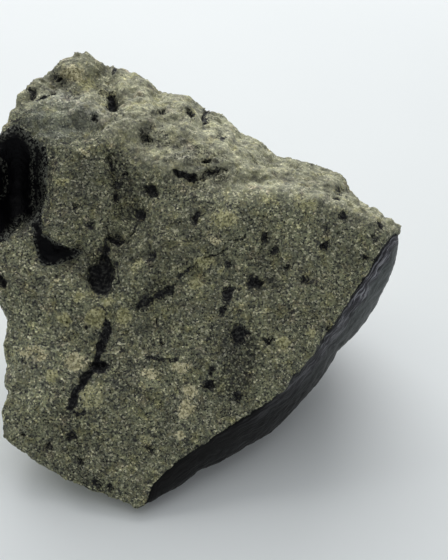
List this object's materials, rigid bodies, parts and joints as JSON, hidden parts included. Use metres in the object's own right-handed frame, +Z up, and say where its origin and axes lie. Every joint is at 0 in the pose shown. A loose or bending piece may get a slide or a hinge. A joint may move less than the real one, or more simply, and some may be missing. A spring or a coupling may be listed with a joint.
{
  "type": "martian meteorite",
  "caption": "Broken chip of fine-grained grey-green stone with a dark, gently domed fusion crust along one side, resting on a small flat spot.",
  "frame": {"origin": "middle of the stone's box on the ground, at the height of the flat spot that it rests on", "axes": "+Z up as the stone rests; -Y towards the sharp low tip and the large broken face, which leans back; +X towards the crusted side; the flat spot faces -Z"},
  "size_m": [0.0396, 0.0375, 0.0287],
  "materials": {
    "stone": "dull, rough broken stone; satin dark crust on one side"
  },
  "bodies": {
    "root": {"meteorite": "stone"}
  },
  "joints": []
}
